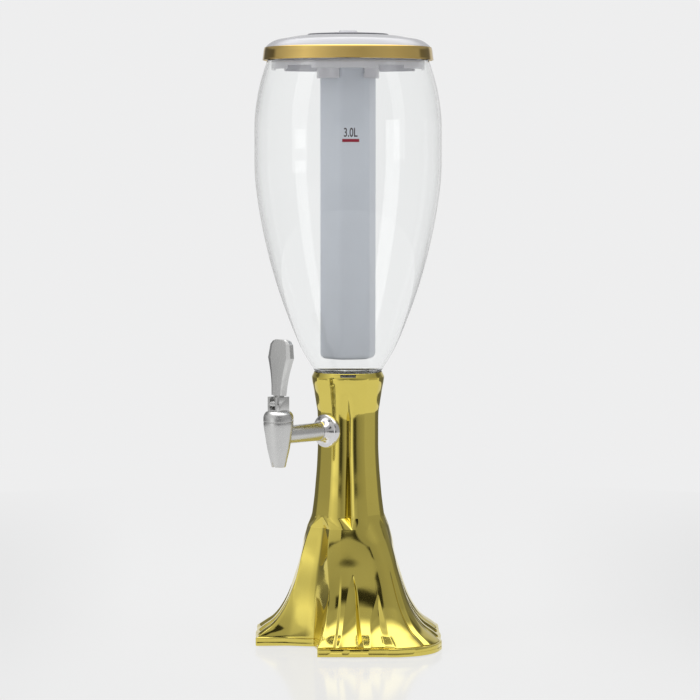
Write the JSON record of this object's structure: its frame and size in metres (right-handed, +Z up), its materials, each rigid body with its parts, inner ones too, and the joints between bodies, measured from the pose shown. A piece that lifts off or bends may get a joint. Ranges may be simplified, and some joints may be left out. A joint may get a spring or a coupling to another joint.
{
  "type": "beer tower dispenser",
  "caption": "Table-top drink tower: a clear bulb-shaped container on a gold-plated flared base, with a lift-off lid, a hanging ice tube and a self-closing lever tap.",
  "frame": {"origin": "on the table under the middle of the tower", "axes": "+Z up along the tower; the tap points along -Y"},
  "size_m": [0.2034, 0.2034, 0.5618],
  "materials": {
    "gold": "polished gold plating",
    "clear": "clear plastic",
    "lid_white": "glossy",
    "cap_gold": "polished gold plating",
    "tube_frost": "frosted",
    "steel": "satin",
    "steel_bright": "polished",
    "seal_rubber": "soft silicone",
    "dark_rubber": "soft rubber",
    "well_plastic": "moulded",
    "cover_plastic": "moulded"
  },
  "bodies": {
    "base": {"base_shell": "gold", "inner_well": "well_plastic", "well_screws": "steel_bright", "bottom_cover": "cover_plastic", "cover_screws": "steel_bright", "rubber_feet": "dark_rubber", "container_seal": "seal_rubber", "tap_body": "steel", "tap_flange": "steel_bright", "tap_washer_outer": "dark_rubber", "tap_washer_inner": "dark_rubber", "tap_nut": "steel_bright", "tap_bonnet": "steel", "bonnet_seal": "dark_rubber", "tap_yoke": "steel", "hinge_pin": "steel_bright", "tap_spring": "steel_bright"},
    "container": {"container": "clear"},
    "lid": {"lid_shell": "lid_white", "lid_band": "cap_gold", "lid_gasket": "seal_rubber"},
    "ice_cap": {"ice_cap": "lid_white", "ice_cap_seal": "seal_rubber"},
    "ice_tube": {"ice_tube": "tube_frost"},
    "lever": {"tap_lever": "steel", "lift_pin": "steel_bright"},
    "stem": {"tap_stem": "steel_bright", "seat_cup": "seal_rubber"}
  },
  "joints": [
    {"name": "container_twist", "type": "hinge", "parent": "base", "child": "container", "pos_m": [0, 0, 0.248], "axis": [0, 0, 1], "range_deg": [0, 50]},
    {"name": "lid_lift", "type": "slide", "parent": "container", "child": "lid", "axis": [0, 0, 1], "range_m": [0, 0.29]},
    {"name": "cap_lift", "type": "slide", "parent": "lid", "child": "ice_cap", "axis": [0, 0, 1], "range_m": [0, 0.04]},
    {"name": "tube_twist", "type": "hinge", "parent": "lid", "child": "ice_tube", "pos_m": [0, 0, 0.52], "axis": [0, 0, -1], "range_deg": [0, 34]},
    {"name": "lever_pull", "type": "hinge", "parent": "base", "child": "lever", "pos_m": [0, -0.09309, 0.2264], "axis": [1, 0, 0], "range_deg": [0, 35], "stiffness_Nm_per_rad": 0.25, "springref_deg": -20.05},
    {"name": "stem_lift", "type": "slide", "parent": "base", "child": "stem", "axis": [0, 0, 1], "range_m": [0, 0.003], "deforming": ["tap_spring"]}
  ],
  "couplings": [
    {"joint": "stem_lift", "follows": "lever_pull", "m_per_rad": 0.0046948}
  ]
}
